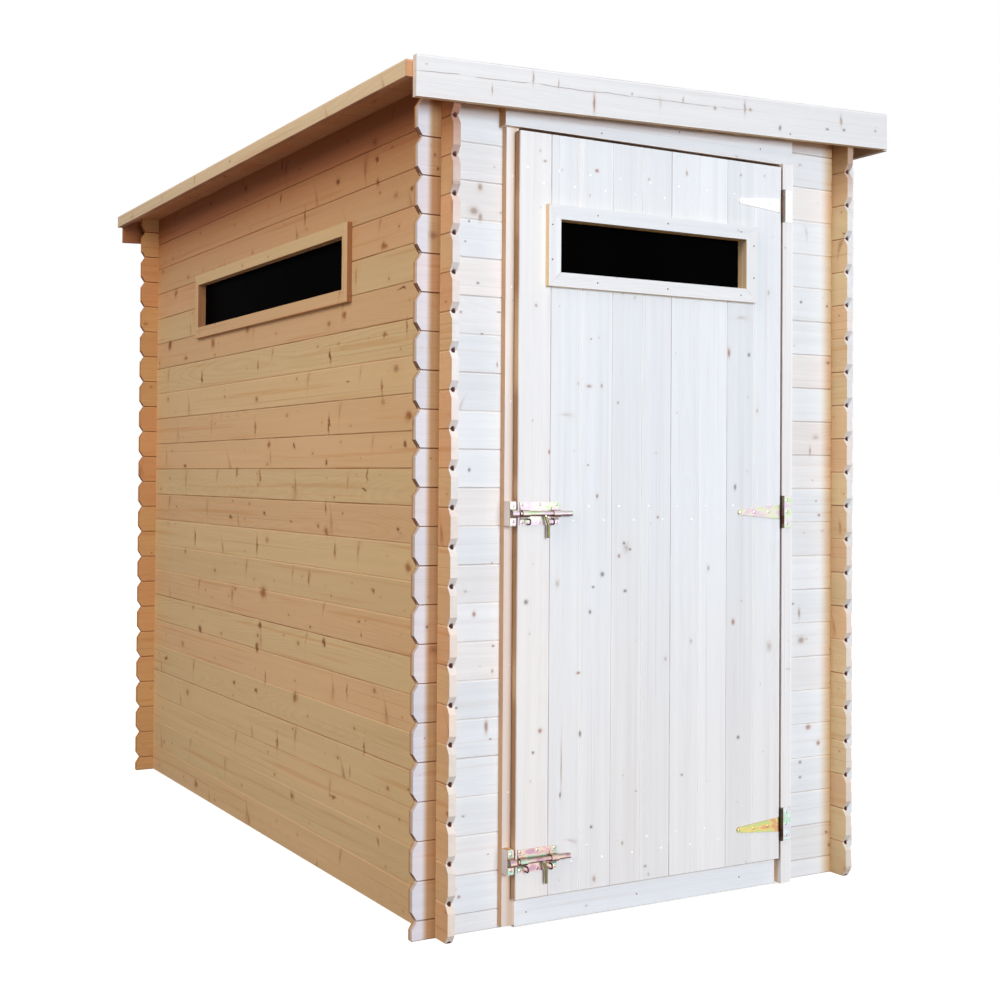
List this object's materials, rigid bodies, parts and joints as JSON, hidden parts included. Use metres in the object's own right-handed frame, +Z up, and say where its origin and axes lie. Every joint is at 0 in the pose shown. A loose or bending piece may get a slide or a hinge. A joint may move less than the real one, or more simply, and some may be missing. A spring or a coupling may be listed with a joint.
{
  "type": "garden shed",
  "caption": "Small timber shed of interlocking horizontal logs with a boarded door, slot windows and a low single-slope roof.",
  "frame": {"origin": "on the ground under the middle of the roof", "axes": "+Z up; the door faces -Y; +X is the high side of the roof, on the right as seen from the door"},
  "size_m": [1.471, 2.3586, 2.0545],
  "materials": {
    "timber": "planed, untreated",
    "inner_timber": "planed, untreated",
    "zinc": "yellow zinc plated",
    "pane": "smooth"
  },
  "bodies": {
    "shed": {"left_wall_lower": "timber", "left_wall_before_window": "timber", "left_wall_behind_window": "timber", "left_wall_upper": "timber", "right_wall": "timber", "right_wall_top_rail": "timber", "rear_wall": "timber", "rear_wall_top_log": "timber", "front_sill_log": "timber", "front_wall_left": "timber", "front_wall_right": "timber", "front_wall_head_log": "timber", "front_wall_top_log": "timber", "roof_boards": "inner_timber", "roof_purlins": "inner_timber", "front_fascia": "timber", "rear_fascia": "timber", "eaves_strip": "timber", "verge_board": "timber", "floor_boards": "inner_timber", "floor_bearers": "inner_timber", "threshold_board": "timber", "door_lintel": "timber", "latch_casing": "timber", "hinge_casing": "timber", "keeper_blocks": "timber", "bolt_keepers": "zinc", "hinge_leaves": "zinc", "side_window_trim": "timber", "side_window_liner": "inner_timber", "side_window_pane": "pane"},
    "door": {"door_boards": "timber", "door_ledges": "inner_timber", "hinge_straps": "zinc", "door_window_trim": "timber", "door_window_inner_trim": "inner_timber", "door_window_pane": "pane", "bolt_plates": "zinc"},
    "upper_bolt": {"upper_bolt_rod": "zinc"},
    "lower_bolt": {"lower_bolt_rod": "zinc"}
  },
  "joints": [
    {"name": "door_hinge", "type": "hinge", "parent": "shed", "child": "door", "pos_m": [0.3785, -1.1496, 0.975], "axis": [0, 0, 1], "range_deg": [0, 110]},
    {"name": "upper_bolt_slide", "type": "slide", "parent": "door", "child": "upper_bolt", "axis": [-1, 0, 0], "range_m": [0, 0.03]},
    {"name": "lower_bolt_slide", "type": "slide", "parent": "door", "child": "lower_bolt", "axis": [-1, 0, 0], "range_m": [0, 0.03]}
  ]
}
